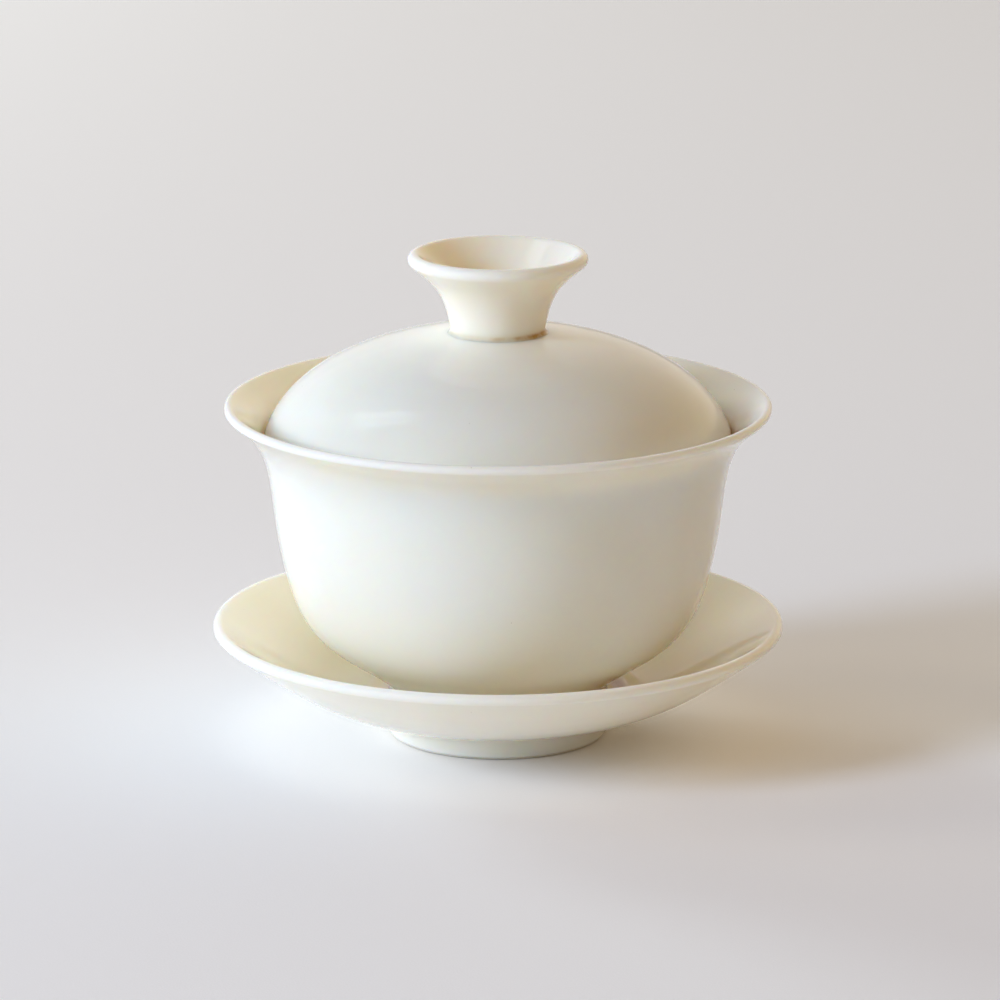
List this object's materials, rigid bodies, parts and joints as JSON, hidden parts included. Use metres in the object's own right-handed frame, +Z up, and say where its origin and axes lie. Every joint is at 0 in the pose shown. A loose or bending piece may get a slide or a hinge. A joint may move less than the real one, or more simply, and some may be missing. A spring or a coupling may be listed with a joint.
{
  "type": "gaiwan",
  "caption": "Covered tea bowl in white glazed porcelain: footed saucer, flared bowl and domed lid with a hollow ring knob, each lifting off the one below.",
  "frame": {"origin": "centre of the saucer's foot ring, on the surface it stands on", "axes": "+Z up along the common turning axis of saucer, bowl and lid"},
  "size_m": [0.104, 0.104, 0.0894],
  "materials": {
    "ivory_glaze": "gloss"
  },
  "bodies": {
    "saucer": {"saucer": "ivory_glaze"},
    "bowl": {"bowl": "ivory_glaze"},
    "lid": {"lid_dome": "ivory_glaze", "lid_knob": "ivory_glaze"}
  },
  "joints": [
    {"name": "bowl_lift", "type": "slide", "parent": "saucer", "child": "bowl", "axis": [0, 0, 1], "range_m": [0, 0.04]},
    {"name": "lid_lift", "type": "slide", "parent": "bowl", "child": "lid", "axis": [0, 0, 1], "range_m": [0, 0.045]}
  ]
}
